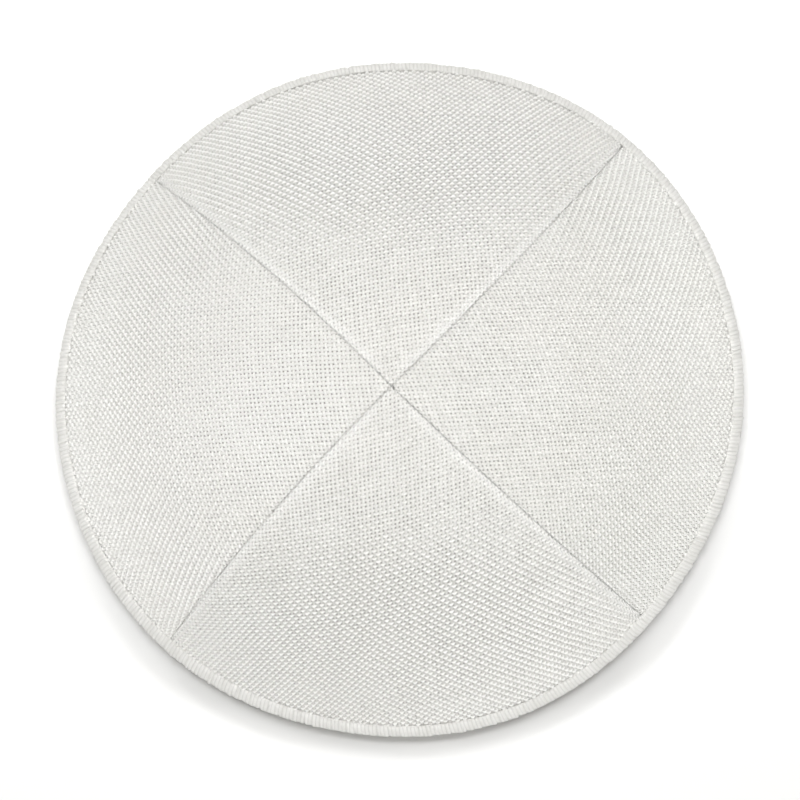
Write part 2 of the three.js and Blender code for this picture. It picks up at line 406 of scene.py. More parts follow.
def look_values(panel, share, beside):
    """How the material differs over a panel, by vertex, in the order returned: how strongly the open corners
    and creases are painted in shade; how much lighter or darker the cloth is beside a seam, with a painted
    highlight on the turned edge raised over its allowance, and painted shade on its neighbour, which lies in
    its shade; and how strongly the lengthwise floats are painted in shade, and the crosswise floats' crowns
    painted with highlights, near the rim."""
    open_weave_shade = 0.8 + 0.25 * fade(share, *OPEN_FROM_TIP)
    shading_rim_fade = fade(share, *SHADING_RIM_FADE)
    seam_tone = fade(share, *TONE_FROM_TIP)
    if panel["layers"]:
        # strength of the painted shade and highlight on the floats
        painted_float_shading = fade(share, *FLOAT_SHADING_RIMWARD) * (1 - 0.3 * shading_rim_fade) * (0.6 + 0.4 * fade(beside, *FLOAT_SHADING_BESIDE))
        # painted highlight on the raised turned edge over its allowance
        tone = (1 - fade(beside, *LIP_HIGHLIGHT_BESIDE)) * seam_tone
        open_weave_shade = open_weave_shade * (1 - 0.3 * tone)
    else:
        # strength of the painted shade and highlight on the floats
        painted_float_shading = 0.6 * fade(share, *RIMWARD) * (1 - 0.5 * shading_rim_fade)
        tone = -(1 - fade(beside, *SHADED_BESIDE)) * seam_tone
        open_weave_shade = open_weave_shade - 0.5 * fade(share, *CLOSE_RIMWARD)
    return {"open_weave_shade": open_weave_shade, "tone": tone, "painted_float_shading": painted_float_shading}


def panel_triangles(keep):
    """Triangles of the kept crossings, and how many of them are the outer face's.

    The points are the outer face's, then the inner face's, one at each corner of a crossing, then one in
    each crossing's middle."""
    across, along = keep.shape
    wide, high = SPLIT * across + 1, SPLIT * along + 1
    outer_count = wide * high
    corner_count = (across + 1) * (along + 1)

    def outer_id(i, j):
        return i * high + j

    def corner_id(i, j):
        return outer_count + i * (along + 1) + j

    def middle_id(i, j):
        return outer_count + corner_count + i * along + j

    ki, kj = np.nonzero(keep)
    triangles = []
    for a in range(SPLIT):
        for b in range(SPLIT):
            i, j = SPLIT * ki + a, SPLIT * kj + b
            p00, p10 = outer_id(i, j), outer_id(i + 1, j)
            p01, p11 = outer_id(i, j + 1), outer_id(i + 1, j + 1)
            if (a, b) in ((0, 0), (2, 2), (1, 0), (1, 2)):
                triangles += [np.stack([p00, p01, p10], 1), np.stack([p10, p01, p11], 1)]
            else:
                triangles += [np.stack([p00, p11, p10], 1), np.stack([p00, p01, p11], 1)]
    outer_triangles = len(triangles) * len(ki)
    c00, c10 = corner_id(ki, kj), corner_id(ki + 1, kj)
    c01, c11 = corner_id(ki, kj + 1), corner_id(ki + 1, kj + 1)
    middle = middle_id(ki, kj)
    for a, b in ((c00, c10), (c10, c11), (c11, c01), (c01, c00)):
        triangles.append(np.stack([middle, a, b], 1))

    # Walls round the panel's edge, from the outer face to the inner one.
    ringed = np.pad(keep, 1)
    for di, dj in ((1, 0), (-1, 0), (0, 1), (0, -1)):
        ei, ej = np.nonzero(ringed[1:-1, 1:-1] & ~np.roll(ringed, (-di, -dj), (0, 1))[1:-1, 1:-1])
        if di:
            i0, j0, si, sj = ei + (di > 0), ej, 0, 1
        else:
            i0, j0, si, sj = ei, ej + (dj > 0), 1, 0
        o = [outer_id(SPLIT * i0 + n * si, SPLIT * j0 + n * sj) for n in range(SPLIT + 1)]
        n0, n1 = corner_id(i0, j0), corner_id(i0 + si, j0 + sj)
        wall = [(o[0], o[1], n0), (o[1], o[2], n0), (o[2], n1, n0), (o[2], o[3], n1)]
        turned = (di > 0) or (dj < 0)
        for a, b, c in wall:
            triangles.append(np.stack([b, a, c] if turned else [a, b, c], 1))
    return np.concatenate(triangles), outer_triangles


def weave_panel(panel, material):
    """A panel's cloth: woven outside, plainer inside, with walls between the two round its edge."""
    rng = np.random.default_rng(panel["seed"])
    net = yarn_net(panel)
    across = (net.shape[0] - 1) * NET_STEP
    along = (net.shape[1] - 1) * NET_STEP
    nodes_i = np.arange(SPLIT * across + 1)
    nodes_j = np.arange(SPLIT * along + 1)
    s, t = np.meshgrid(nodes_i / SPLIT, nodes_j / SPLIT, indexing="ij")

    # Each yarn's own wander and thickness, held by the lines between neighbours.
    drift_s = smooth_noise(rng, (across + 1, SPLIT * along + 1), (1, WANDER_LENGTH)) * WANDER
    drift_s += rng.normal(size=(across + 1, 1)) * OWN_PLACE
    drift_t = smooth_noise(rng, (SPLIT * across + 1, along + 1), (WANDER_LENGTH, 1)) * WANDER
    drift_t += rng.normal(size=(1, along + 1)) * OWN_PLACE
    shift_s = between_yarns(drift_s, nodes_i)
    shift_t = between_yarns(drift_t.T, nodes_j).T

    # Floats of the two directions alternate, and each is a little longer than it is wide.
    on_s = (nodes_i % SPLIT == 0)[:, None]
    on_t = (nodes_j % SPLIT == 0)[None, :]
    cell_i, cell_j = nodes_i // SPLIT, nodes_j // SPLIT
    even = (cell_i[:, None] + cell_j[None, :]) % 2 == 0
    float_shift = np.where(even, FLOAT_SHIFT, -FLOAT_SHIFT)
    shift_s = shift_s + np.where(on_s & ~on_t, float_shift, 0)
    shift_t = shift_t - np.where(on_t & ~on_s, float_shift, 0)
    plan = net_points(net, s + shift_s, t + shift_t)
    share, turn, _, half = locate(panel, plan[..., 0], plan[..., 1])
    beside = np.hypot(plan[..., 0], plan[..., 1]) * np.sin(np.maximum(half - np.abs(turn), 0))

    # Height of each place of the weave: crowns of the floats, creases between them and open corners.
    corner_shape = (across + 1, along + 1)
    cells = np.ix_(cell_i, cell_j)
    slub_s = smooth_noise(rng, corner_shape, (1, SLUB_LENGTH))
    slub_t = smooth_noise(rng, corner_shape, (SLUB_LENGTH, 1))
    grain = rng.normal(size=corner_shape)[cells]
    swell = smooth_noise(rng, corner_shape, (SWELL_LENGTH, SWELL_LENGTH))[cells]
    own = np.where(even, slub_s[cells], slub_t[cells])
    rimward = fade(share, *RIMWARD)
    edgeward = panel["layers"] * (1 - fade(beside, *EDGEWARD)) * fade(share, *EDGE_FROM_TIP)
    crowns = []
    for tip, rim, edge in zip(CROWN_TIP, CROWN_RIM, CROWN_EDGE):
        middling = tip + (rim - tip) * rimward
        crowns.append(middling + (edge - middling) * edgeward)
    crown = np.where(even, crowns[0], crowns[1]) + SLUB * own + GRAIN * grain
    crease = CREASE + SLUB * own
    pit = PIT + PIT_GRAIN * grain
    relief = np.where(on_s & on_t, pit, np.where(on_s | on_t, crease, crown)) + SWELL * swell
    outer, _, _ = fold(panel, plan, relief, False)

    # Whole crossings are kept, as far as the turned edge at the seams and the bound edge at the rim.
    corners = (slice(None, None, SPLIT), slice(None, None, SPLIT))
    plan = net_points(net, s[corners], t[corners])
    _, inside, corner_share = fold(panel, plan, np.zeros(corner_shape), False)
    good = np.isfinite(plan[..., 0]) & (corner_share < CLOTH_END) & (inside > -FLAP_LENGTH)
    keep = good[:-1, :-1] & good[1:, :-1] & good[:-1, 1:] & good[1:, 1:]

    # The inner face: one corner and one middle to a crossing.
    inner_corner, _, _ = fold(panel, plan, np.full(corner_shape, INNER_PIT), True)
    middle_s, middle_t = np.meshgrid(np.arange(across) + 0.5, np.arange(along) + 0.5, indexing="ij")
    inner_middle, _, _ = fold(panel, net_points(net, middle_s, middle_t), np.zeros(keep.shape), True)

    points = np.concatenate([part.reshape(-1, 3) for part in (outer, inner_corner, inner_middle)])
    inner_count = len(points) - s.size
    yarns = ((s, t), (s[corners], t[corners]), (middle_s, middle_t))
    uv = np.concatenate([np.stack(pair, -1).reshape(-1, 2) for pair in yarns])
    triangles, outer_triangles = panel_triangles(keep)
    used, triangles = np.unique(triangles, return_inverse=True)
    triangles = triangles.reshape(-1, 3)
    points, uv = points[used], uv[used]
    yarn = uv[triangles]
    lowest, highest = uv.min(0), uv.max(0)
    size = max((highest[0] - lowest[0]) / MAP_FILL, (highest[1] - lowest[1]) / HALF_MAP_FILL)
    bake = (yarn - lowest) / size + MAP_EDGE
    bake[outer_triangles:, :, 1] += 0.5
    values = {}
    for value_name, numbers in look_values(panel, share, beside).items():
        inner_numbers = np.full(inner_count, INNER_VALUES[value_name])
        values[value_name] = np.concatenate([numbers.ravel(), inner_numbers])[used]
    name = panel["name"].replace("panel", "cloth")
    obj = make_mesh(name, points, triangles, material, {"Yarn": yarn, "OFBake": bake}, values)
    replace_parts(obj, panel["name"])


# The thread band's section, closed, as (along the slope past the cloth's edge, out of its outer face,
# share of the thread's relief).
SECTION = [
    (-2.8, -0.3, 0.0), (-3.0, -0.12, 0.3), (-2.95, 0.12, 0.7), (-2.68, 0.38, 1.0), (-2.2, 0.58, 1.0),
    (-1.65, 0.69, 1.0), (-1.1, 0.72, 1.0), (-0.6, 0.71, 1.0), (-0.15, 0.66, 1.0), (0.25, 0.53, 1.0),
    (0.52, 0.32, 1.0), (0.7, 0.02, 1.0), (0.77, -0.35, 0.7), (0.8, -0.916, 0.0), (-0.09, -2.0, 0.0),
    (-0.8, -1.95, 0.8), (-1.7, -1.93, 1.0), (-2.5, -1.88, 1.0), (-2.77, -1.65, 0.8), (-2.8, -1.28, 0.0),
    (-1.2, -1.24, 0.0), (0.2, -1.24, 0.0), (0.25, 0.0, 0.0), (-1.4, 0.05, 0.0),
]
FACE_MIDDLE = 2.4  # round the section from its first point to the middle of the band's outer face

# How wide the sewn band is at angles round the rim, as a share of its mean width.
BAND_ANGLES = [0, 30, 90, 150, 186, 232, 272, 322]
BAND_SHARES = [1.05, 1.0, 0.76, 0.76, 1.15, 1.42, 1.15, 1.3]

# Strands of thread round the rim. Places, leans, bows and half widths are in strands, and heights are
# millimetres. A spread is the deviation from strand to strand.
WRAPS = 546
STRAND_STEPS = 5  # steps of the mesh to a strand
STRAND_LEAN = 0.32
STRAND_BOW = 0.15
STRAND_WIDTH = 0.54
STRAND_HEIGHT = 0.32
BETWEEN_STRANDS = -0.2
PLACE_SPREAD = 0.07
LEAN_SPREAD = 0.14
WIDTH_SPREAD = 0.04
HEIGHT_SPREAD = 0.2  # as a share of the height
FUZZ = 0.03
FUZZ_LENGTHS = (5, 2)  # steps round the rim and round the section
PAST_FACE = 1.2  # how far the lean and bow go on past the middle, in FACE_MIDDLE
BAND_SEED = 5

# Small knots where the strands lock, along the band's inner edge.
KNOT_PLACE = 0.75  # round the section
KNOT_REACH = 0.3
KNOT_HEIGHT = 0.1
KNOT_TURN = 0.3  # in strands

BAND_MAP_ROWS = 24  # strips that the band's bake map is cut into
BAND_MAP_FILL = 0.94  # of each strip
THREAD_LENGTH = 0.9  # along a strand, to one unit of the yarn map


def band_share(azimuth):
    return np.interp(np.degrees(azimuth), BAND_ANGLES, BAND_SHARES, period=360)


def edge_points(azimuth, along, out):
    """Points beside the cloth's edge, along the slope past it and out of the outer face."""
    slope = np.arctan2(2 * CROWN_RISE, rim_radius(azimuth))
    radius = rim_radius(azimuth) + along * np.cos(slope) + out * np.sin(slope)
    height = EDGE_HEIGHT - along * np.sin(slope) + out * np.cos(slope)
    return np.stack([radius * np.cos(azimuth), radius * np.sin(azimuth), height], -1)


def cap_strip_points(azimuth, along, out):
    """As edge_points, but following the curve of the cap above the edge."""
    share = 1 + along * np.cos(RIM_SLOPE) / RIM_RADIUS
    return cap_point(azimuth, 0 * azimuth, share, -out)[0]


def two_halves(*corners):
    """Corners of the two triangles of each quad, from its four corners in order."""
    quad = np.stack([np.stack(corner, -1) for corner in corners], -2)
    return np.stack([quad[:, :, [0, 1, 2]], quad[:, :, [0, 2, 3]]], 2).reshape(-1, 3, 2)


def ring_mesh(name, loops, material, yarn):
    """A closed ring of closed loops (steps, points), with the bake map cut into strips.

    yarn holds the yarn map's pace round the ring, its length round a loop and the strands' turn there."""
    steps, count = loops.shape[:2]
    i, j = np.meshgrid(np.arange(steps), np.arange(count), indexing="ij")
    i1, j1 = (i + 1) % steps, (j + 1) % count
    a, b = i * count + j, i1 * count + j
    c, d = i1 * count + j1, i * count + j1
    triangles = np.stack([np.stack([a, b, c], -1), np.stack([a, c, d], -1)], 2).reshape(-1, 3)
    rows = BAND_MAP_ROWS
    per = steps // rows + (steps % rows > 0)
    row = i // per
    u0, u1 = (i - row * per) / per, (i + 1 - row * per) / per
    v0 = (row + j / count * BAND_MAP_FILL) / rows
    v1 = (row + (j + 1) / count * BAND_MAP_FILL) / rows
    bake = two_halves((u0, v0), (u1, v0), (u1, v1), (u0, v1)) * MAP_FILL + MAP_EDGE
    pace, lengths, turned = yarn
    y0, y1 = pace * i, pace * (i + 1)
    z0, z1 = lengths[j], np.append(lengths, lengths[-1])[j + 1]
    t0, t1 = turned[j], np.append(turned, turned[-1])[j + 1]
    own = two_halves((y0 - t0, z0), (y1 - t0, z0), (y1 - t1, z1), (y0 - t1, z1))
    maps = {"Yarn": own, "OFBake": bake}
    return make_mesh(name, loops.reshape(-1, 3), triangles, material, maps)


def bind_edge(material):
    """The band of thread that wraps the cloth's edge, strand by strand."""
    rng = np.random.default_rng(BAND_SEED)
    steps = WRAPS * STRAND_STEPS
    section = np.array(SECTION)
    after, before = np.roll(section, -1, 0), np.roll(section, 1, 0)
    tangent = after[:, :2] - before[:, :2]
    tangent /= np.linalg.norm(tangent, axis=1)[:, None]
    square = np.stack([-tangent[:, 1], tangent[:, 0]], 1)
    azimuth = 2 * np.pi * np.arange(steps) / steps
    along, out = section[:, 0], section[:, 1]
    length = np.concatenate([[0], np.cumsum(np.linalg.norm(np.diff(section[:, :2], axis=0), axis=1))])

    # Strands lean and bow, each in its own way, and lie side by side.
    offset = PLACE_SPREAD * rng.normal(size=WRAPS)
    lean = STRAND_LEAN + LEAN_SPREAD * rng.normal(size=WRAPS)
    width = STRAND_WIDTH + WIDTH_SPREAD * rng.normal(size=WRAPS)
    tall = 1 + HEIGHT_SPREAD * rng.normal(size=WRAPS)
    place = np.arange(steps)[:, None] / STRAND_STEPS
    across = np.clip((length[None, :] - FACE_MIDDLE) / FACE_MIDDLE, -PAST_FACE, PAST_FACE)
    relief = np.full((steps, len(section)), BETWEEN_STRANDS)
    base = np.floor(place).astype(int)
    # The strands that may reach a place are its own and a few on either side.
    for n in range(-2, 4):
        k = (base + n) % WRAPS
        away = place - (base + n) - offset[k] - lean[k] * across - STRAND_BOW * across**2
        strand = np.sqrt(np.maximum(1 - (away / width[k]) ** 2, 0))
        relief = np.maximum(relief, STRAND_HEIGHT * tall[k] * strand + BETWEEN_STRANDS)
    knot = np.exp(-(((length[None, :] - KNOT_PLACE) / KNOT_REACH) ** 2))
    relief = relief + KNOT_HEIGHT * knot * np.cos(2 * np.pi * (place + KNOT_TURN))
    relief = relief + FUZZ * smooth_noise(rng, (steps, len(section)), FUZZ_LENGTHS)
    relief = relief * section[None, :, 2]
    wide = band_share(azimuth)[:, None]
    along = np.where(along < 0, along * wide, along) + square[None, :, 0] * relief
    out = out[None, :] + square[None, :, 1] * relief
    loops = edge_points(azimuth[:, None], along, out)
    loops[..., 2] = np.maximum(loops[..., 2], 0)
    turned = STRAND_LEAN * across[0] + STRAND_BOW * across[0] ** 2
    yarn = (1 / STRAND_STEPS, length / THREAD_LENGTH, turned)
    return ring_mesh("thread_band", loops, material, yarn)


# Stitches beside the band. Each is a little bar of rings of points. Its half length is in stitches.
STITCHES = 238
STITCH_RINGS = 7
STITCH_SIDES = 6
STITCH_REACH = 0.4
STITCH_RADIUS = 0.17
STITCH_ARCH = 0.12
STITCH_SINK = 0.05
END_SWELL = 0.02  # least square of a ring's share of the radius, at the ends
PLACE_UNEVEN = 0.08
REACH_UNEVEN = 0.03
TILT_UNEVEN = 0.06
RADIUS_UNEVEN = 0.15  # as a share of the radius
SIDE_UNEVEN = 0.05
STITCH_MAP_ROWS = 16  # and columns, of the bake map


def stitch_line(name, material, along, out, seed):
    """A row of short stitches beside the band, as one mesh of little bars."""
    rng = np.random.default_rng(seed)
    count, rings, sides = STITCHES, STITCH_RINGS, STITCH_SIDES
    pitch = 2 * np.pi / count
    f = np.linspace(-1, 1, rings)
    swell = np.sqrt(np.maximum(1 - np.abs(f) ** 3, END_SWELL))
    angle = 2 * np.pi * np.arange(sides) / sides
    centre = (np.arange(count) + PLACE_UNEVEN * rng.normal(size=count)) * pitch
    reach = (STITCH_REACH + REACH_UNEVEN * rng.normal(size=count)) * pitch
    tilt = TILT_UNEVEN * rng.normal(size=count)
    thick = STITCH_RADIUS * (1 + RADIUS_UNEVEN * rng.normal(size=count))
    side = np.sign(out)
    azimuth = centre[:, None] + reach[:, None] * f[None, :]
    aside = SIDE_UNEVEN * rng.normal(size=count)[:, None]
    line_along = along * band_share(azimuth) + tilt[:, None] * f + aside
    line_out = out + side * STITCH_ARCH * (1 - f**2)[None, :] - side * STITCH_SINK
    radius = thick[:, None, None] * swell[None, :, None]
    bar_along = line_along[:, :, None] + radius * np.cos(angle)
    bar_out = line_out[:, :, None] + radius * np.sin(angle)
    bar_azimuth = azimuth[:, :, None] + 0 * bar_along
    points = cap_strip_points(bar_azimuth, bar_along, bar_out).reshape(-1, 3)

    # Sides of the bars, then their two ends.
    i, j, k = np.meshgrid(np.arange(count), np.arange(rings - 1), np.arange(sides), indexing="ij")
    base = i * rings * sides
    a, b = base + j * sides + k, base + (j + 1) * sides + k
    c, d = base + (j + 1) * sides + (k + 1) % sides, base + j * sides + (k + 1) % sides
    triangles = [np.stack([a, d, c], -1).reshape(-1, 3), np.stack([a, c, b], -1).reshape(-1, 3)]
    first = np.arange(count) * rings * sides
    last = first + (rings - 1) * sides
    for q in range(1, sides - 1):
        triangles.append(np.stack([first, first + q + 1, first + q], 1))
        triangles.append(np.stack([last, last + q, last + q + 1], 1))
    triangles = np.concatenate(triangles)
    ids = np.arange(len(points))
    yarn = np.stack([(ids % (rings * sides)) // sides * 0.4, (ids % sides) / sides], 1)
    cell = ids // (rings * sides)
    cell_x, cell_y = cell % STITCH_MAP_ROWS, cell // STITCH_MAP_ROWS
    bake = np.stack([cell_x + yarn[:, 0] / 3, cell_y + yarn[:, 1] * 0.9], 1) / STITCH_MAP_ROWS * MAP_FILL
    maps = {"Yarn": yarn[triangles], "OFBake": bake[triangles]}
    return make_mesh(name, points, triangles, material, maps)


# A seam's two allowances under a front or back panel, as (share of the width, depth below the inner
# face as a share of the thickness).
LAYERS = [
    (0.0, 0.02), (0.0, 0.45), (0.02, 0.9), (0.06, 1.0), (0.3, 1.0), (0.6, 1.0), (0.84, 1.0), (0.88, 0.92),
    (0.885, 0.62), (0.89, 0.52), (0.96, 0.52), (0.99, 0.42), (1.0, 0.2), (0.99, 0.02), (0.6, 0.0), (0.3, 0.0),
]
ALLOWANCE_STEPS = 220
ALLOWANCE_SPAN = (0.03, 0.94)  # of the way from the tip to the rim
ALLOWANCE_MOST = 0.5  # the largest share of the half panel that it covers
CUT_EDGE = 0.8  # share of the width past which the allowance's edge is ragged
RAGGED = 0.12
RAGGED_LENGTHS = (3, 1)  # steps along the seam and round the section
RIPPLE = 0.05
RIPPLE_LENGTHS = (9, 3)
THIN_TIP = (0.0, 0.1)  # share of the way to the rim over which it comes to its full thickness
SEAM_LENGTH = 110  # from the tip to the rim, for the yarn map
BIAS = 0.7  # yarns to a millimetre along the seam and across it, as they cross it at 45 degrees


def allowance(name, panel, at_start, material, seed):
    """Both allowances of one of a panel's seams, pressed flat under it."""
    rng = np.random.default_rng(seed)
    steps = ALLOWANCE_STEPS
    section = np.array(LAYERS)
    count = len(section)
    share = np.linspace(*ALLOWANCE_SPAN, steps)[:, None]
    start = seam_azimuth(panel["start"], share)
    end = seam_azimuth(panel["end"], share)
    half = (end - start) / 2
    room = rim_radius((start + end) / 2) * share * np.sin(half)
    width = np.minimum(ALLOWANCE_WIDTH, ALLOWANCE_MOST * room)
    ragged = RAGGED * smooth_noise(rng, (steps, count), RAGGED_LENGTHS)
    ragged = ragged * (section[None, :, 0] > CUT_EDGE)
    distance = SEAM_HALF_GAP + PLAY + section[None, :, 0] * width + ragged
    turn = np.arcsin(np.clip(distance / (rim_radius(start) * share), -1, 1))
    azimuth = start + turn if at_start else end - turn
    bend = (half - turn) / half * SEAM_BEND * (-1 if at_start else 1)
    thick = (ALLOWANCE_THICKNESS - 2 * PLAY) * fade(share, *THIN_TIP)
    ripple = RIPPLE * smooth_noise(rng, (steps, count), RIPPLE_LENGTHS)
    depth = CLOTH_THICKNESS - SEAM_LIFT - PLAY + section[None, :, 1] * thick + ripple * section[None, :, 1]
    loops, _ = cap_point(azimuth, bend, share + 0 * depth, depth)

    # Sides, then a cap at each end.
    i, j = np.meshgrid(np.arange(steps - 1), np.arange(count), indexing="ij")
    a, b = i * count + j, (i + 1) * count + j
    c, d = (i + 1) * count + (j + 1) % count, i * count + (j + 1) % count
    sides = ((a, c, b), (a, d, c)) if at_start else ((a, b, c), (a, c, d))
    triangles = [np.stack(side, -1).reshape(-1, 3) for side in sides]
    for row, turned in ((0, at_start), (steps - 1, not at_start)):
        for q in range(1, count - 1):
            cap = [row * count, row * count + q, row * count + q + 1]
            triangles.append(np.array([cap[::-1] if turned else cap]))
    triangles = np.concatenate(triangles)
    place = np.stack([share * SEAM_LENGTH + 0 * distance, distance], -1).reshape(-1, 2)
    yarn = np.stack([place[:, 0] - place[:, 1], place[:, 0] + place[:, 1]], 1) * BIAS
    around = np.tile(np.arange(count) / count, steps)
    lengthwise = np.repeat(np.arange(steps) / steps, count)
    bake = np.stack([lengthwise, around], 1) * MAP_FILL + MAP_EDGE
    maps = {"Yarn": yarn[triangles], "OFBake": bake[triangles]}
    return make_mesh(name, loops.reshape(-1, 3), triangles, material, maps)


class Nodes:
    """A short way to write a material's node tree."""

    def __init__(self, name):
        self.material = bpy.data.materials.new(name)
        self.material.use_nodes = True
        self.tree = self.material.node_tree
        self.shader = self.tree.nodes["Principled BSDF"]

    def fill(self, node, inputs):
        """Joins a node's inputs to sockets, or sets them to plain values, by name or number."""
        for name, value in inputs.items():
            if isinstance(value, (int, float, tuple)):
                node.inputs[name].default_value = value
            else:
                self.tree.links.new(value, node.inputs[name])
        return node

    def new(self, kind, inputs):
        return self.fill(self.tree.nodes.new("ShaderNode" + kind), inputs)

    def math(self, operation, *values):
        node = self.new("Math", dict(enumerate(values)))
        node.operation = operation
        return node.outputs[0]

    def add(self, first, second):
        return self.math("ADD", first, second)

    def minus(self, first, second):
        return self.math("SUBTRACT", first, second)

    def times(self, first, second):
        return self.math("MULTIPLY", first, second)

    def magnitude(self, value):
        return self.math("ABSOLUTE", value)

    def span(self, value, low, high, to_low=0.0, to_high=1.0):
        """A smooth step from to_low at low to to_high at high."""
        node = self.new("MapRange", dict(enumerate((value, low, high, to_low, to_high))))
        node.interpolation_type = "SMOOTHSTEP"
        return node.outputs[0]

    def join(self, x, y, z=0.0):
        return self.new("CombineXYZ", {"X": x, "Y": y, "Z": z}).outputs[0]

    def noise(self, vector, scale, detail, rough):
        inputs = {"Vector": vector, "Scale": scale, "Detail": detail, "Roughness": rough}
        return self.new("TexNoise", inputs).outputs[0]

    def random(self, x, y, z=0.0):
        node = self.new("TexWhiteNoise", {"Vector": self.join(x, y, z)})
        node.noise_dimensions = "3D"
        return node.outputs["Value"]

    def mix(self, amount, first, second):
        """A colour between two. The node's sockets 6 and 7 and its output 2 are those for colours."""
        node = self.new("Mix", {"Factor": amount})
        node.data_type = "RGBA"
        self.fill(node, {6: first, 7: second})
        return node.outputs[2]

    def uv(self, name):
        node = self.new("UVMap", {})
        node.uv_map = name
        split = self.new("SeparateXYZ", {"Vector": node.outputs[0]})
        return split.outputs[0], split.outputs[1]

    def value(self, name):
        node = self.new("Attribute", {})
        node.attribute_name = name
        return node.outputs["Fac"]

    def place(self):
        return self.new("TexCoord", {}).outputs["Object"]

    def bump(self, height, distance, below=None):
        node = self.new("Bump", {"Strength": 1.0, "Distance": distance, "Height": height})
        if below is not None:
            self.fill(node, {"Normal": below})
        return node.outputs[0]

    def finish(self, inputs):
        self.fill(self.shader, inputs)
        return self.material


# Colours of the cloth, the thread and the floor, with the painted shade and highlights of the cloth and the
# thread.
CLOTH_PLAIN = (0.825, 0.816, 0.785, 1.0)
CLOTH_PALE = (0.85, 0.846, 0.822, 1.0)
CLOTH_DULL = (0.72, 0.71, 0.675, 1.0)
# painted shade in the creases beside the yarns
CLOTH_CREASE_SHADE = (0.5, 0.487, 0.455, 1.0)
# painted shade in the open corners between the yarns
CLOTH_HOLE_SHADE = (0.26, 0.25, 0.225, 1.0)
# painted shade on the low lengthwise floats near the rim
CLOTH_FLOAT_SHADE = (0.5, 0.49, 0.46, 1.0)
# painted highlight on the crowns of the crosswise floats near the rim
CLOTH_FLOAT_HIGHLIGHT = (0.98, 0.975, 0.955, 1.0)
# painted highlight on the raised turned edge beside a seam
CLOTH_LIP_HIGHLIGHT = (0.92, 0.92, 0.905, 1.0)
CLOTH_SHADED = (0.6, 0.59, 0.57, 1.0)
THREAD_PLAIN = (0.66, 0.654, 0.625, 1.0)
THREAD_PALE = (0.72, 0.713, 0.69, 1.0)
THREAD_FIBRE = (0.54, 0.53, 0.5, 1.0)
# painted shade in the gaps between the strands
THREAD_GAP_SHADE = (0.42, 0.41, 0.385, 1.0)
FLOOR_WHITE = (0.9, 0.9, 0.9, 1.0)

# Depths of the materials' bumps, in metres.
CROWN_BUMP = 0.00022
CLOTH_FIBRE_BUMP = 0.00006
THREAD_FIBRE_BUMP = 0.00008
CROSSWISE_YARNS_FROM = 511.0  # keeps their numbers clear of the lengthwise yarns'


